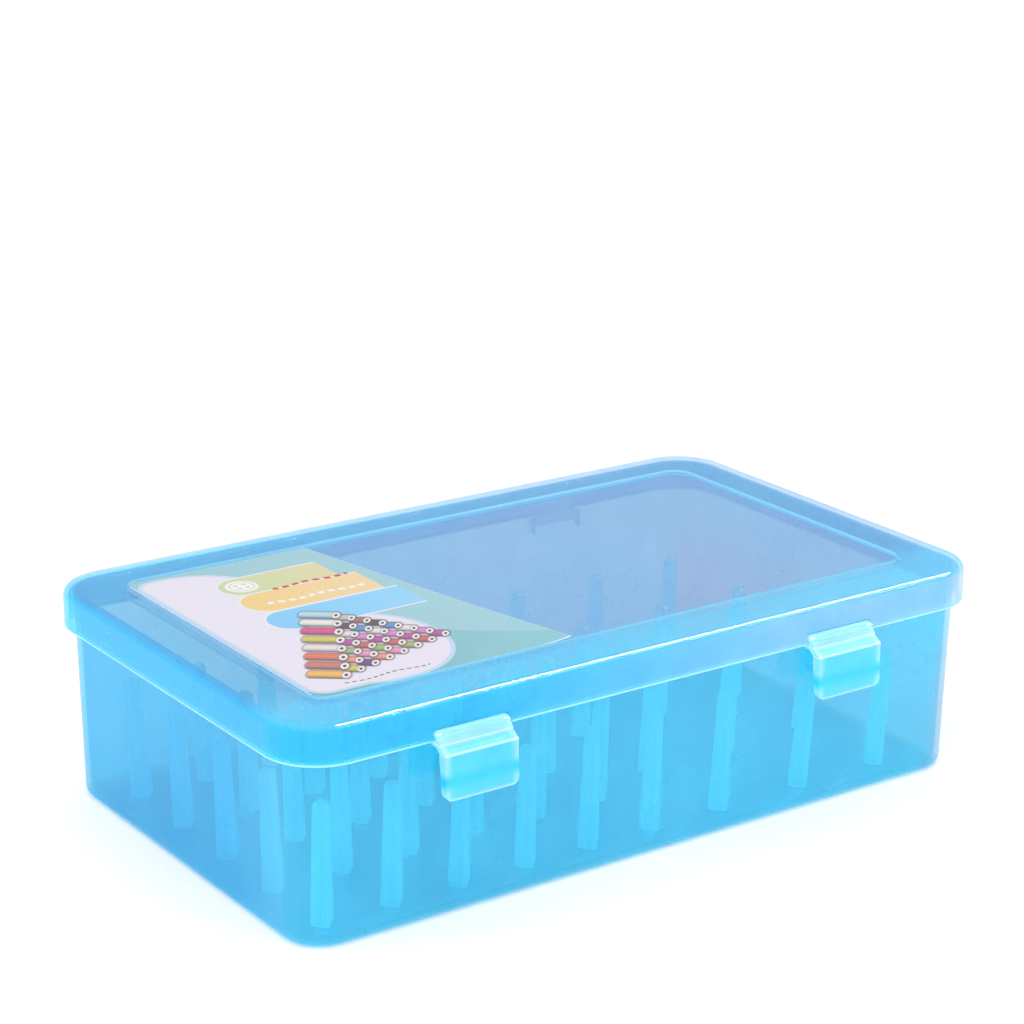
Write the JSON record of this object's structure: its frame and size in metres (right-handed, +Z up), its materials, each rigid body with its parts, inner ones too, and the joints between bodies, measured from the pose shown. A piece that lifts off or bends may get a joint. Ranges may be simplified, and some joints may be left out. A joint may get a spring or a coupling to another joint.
{
  "type": "thread spool box",
  "caption": "Low translucent storage box with rows of upright spool pegs, a back-hinged lid with a sunk label panel and front clip latches.",
  "frame": {"origin": "middle of the tray's flat underside", "axes": "+X along the box with the wide-pitch pegs at the +X end, -Y the latch side, +Y the hinge side, +Z up"},
  "size_m": [0.245, 0.1558, 0.0667],
  "materials": {
    "tray_plastic": "clear blue moulded plastic, glossy, slightly hazy",
    "lid_plastic": "clear blue moulded plastic, glossy",
    "latch_plastic": "paler frosted aqua moulded plastic",
    "peg_plastic": "cloudy cyan moulded plastic",
    "printed_card": "semi-gloss printed card, lavender and aqua with coloured bands"
  },
  "bodies": {
    "tray": {"tray": "tray_plastic", "peg_01": "peg_plastic", "peg_02": "peg_plastic", "peg_03": "peg_plastic", "peg_04": "peg_plastic", "peg_05": "peg_plastic", "peg_06": "peg_plastic", "peg_07": "peg_plastic", "peg_08": "peg_plastic", "peg_09": "peg_plastic", "peg_10": "peg_plastic", "peg_11": "peg_plastic", "peg_12": "peg_plastic", "peg_13": "peg_plastic", "peg_14": "peg_plastic", "peg_15": "peg_plastic", "peg_16": "peg_plastic", "peg_17": "peg_plastic", "peg_18": "peg_plastic", "peg_19": "peg_plastic", "peg_20": "peg_plastic", "peg_21": "peg_plastic", "peg_22": "peg_plastic", "peg_23": "peg_plastic", "peg_24": "peg_plastic", "peg_25": "peg_plastic", "peg_26": "peg_plastic", "peg_27": "peg_plastic", "peg_28": "peg_plastic", "peg_29": "peg_plastic", "peg_30": "peg_plastic", "peg_31": "peg_plastic", "peg_32": "peg_plastic", "peg_33": "peg_plastic", "peg_34": "peg_plastic", "peg_35": "peg_plastic", "peg_36": "peg_plastic", "peg_37": "peg_plastic", "peg_38": "peg_plastic", "peg_39": "peg_plastic", "peg_40": "peg_plastic", "peg_41": "peg_plastic", "peg_42": "peg_plastic"},
    "lid": {"lid": "lid_plastic", "label_card": "printed_card"},
    "latch_left": {"latch_left": "latch_plastic"},
    "latch_right": {"latch_right": "latch_plastic"}
  },
  "joints": [
    {"name": "lid_hinge", "type": "hinge", "parent": "tray", "child": "lid", "pos_m": [0, 0.0748, 0.051], "axis": [-1, 0, 0], "range_deg": [0, 180]},
    {"name": "latch_left_hinge", "type": "hinge", "parent": "lid", "child": "latch_left", "pos_m": [-0.068, -0.0726, 0.0551], "axis": [-1, 0, 0], "range_deg": [0, 90]},
    {"name": "latch_right_hinge", "type": "hinge", "parent": "lid", "child": "latch_right", "pos_m": [0.0628, -0.0726, 0.0551], "axis": [-1, 0, 0], "range_deg": [0, 90]}
  ]
}
